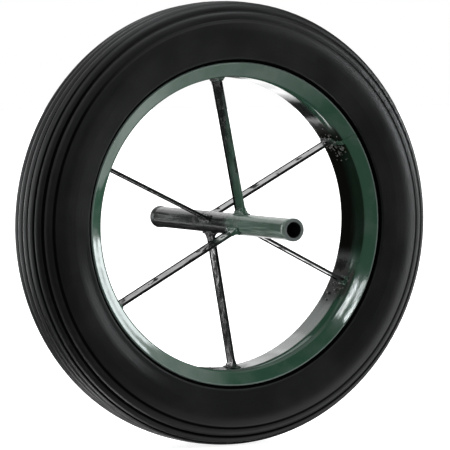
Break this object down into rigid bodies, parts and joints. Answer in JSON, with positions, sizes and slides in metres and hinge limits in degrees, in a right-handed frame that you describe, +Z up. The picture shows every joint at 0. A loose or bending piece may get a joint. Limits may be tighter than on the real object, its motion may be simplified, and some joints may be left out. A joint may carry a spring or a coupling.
{
  "type": "wheelbarrow wheel",
  "caption": "Spoked wheelbarrow wheel: a solid ribbed rubber tyre on a rolled steel channel rim, with flat bar spokes welded to a long tube hub that turns on the axle.",
  "frame": {"origin": "the wheel's centre, on the axle line, midway between the rim's two flanges", "axes": "+Y runs along the hub's bore, from the front of the wheel to its rear; +Z is up and +X is to the right, seen from the front"},
  "size_m": [0.4, 0.263, 0.4],
  "materials": {
    "tyre_rubber": "moulded black rubber, satin with faint sheen",
    "green_enamel": "glossy dark green enamel on rolled steel",
    "enamelled_weld": "lumpy weld metal under dark green enamel"
  },
  "bodies": {
    "root": {"tyre": "tyre_rubber", "rim": "green_enamel", "rim_seam_weld": "enamelled_weld", "hub_tube": "green_enamel", "spoke_front_1": "green_enamel", "spoke_rear_1": "green_enamel", "spoke_front_2": "green_enamel", "spoke_rear_2": "green_enamel", "spoke_front_3": "green_enamel", "spoke_rear_3": "green_enamel", "hub_welds": "enamelled_weld", "rim_welds": "enamelled_weld"}
  },
  "joints": []
}
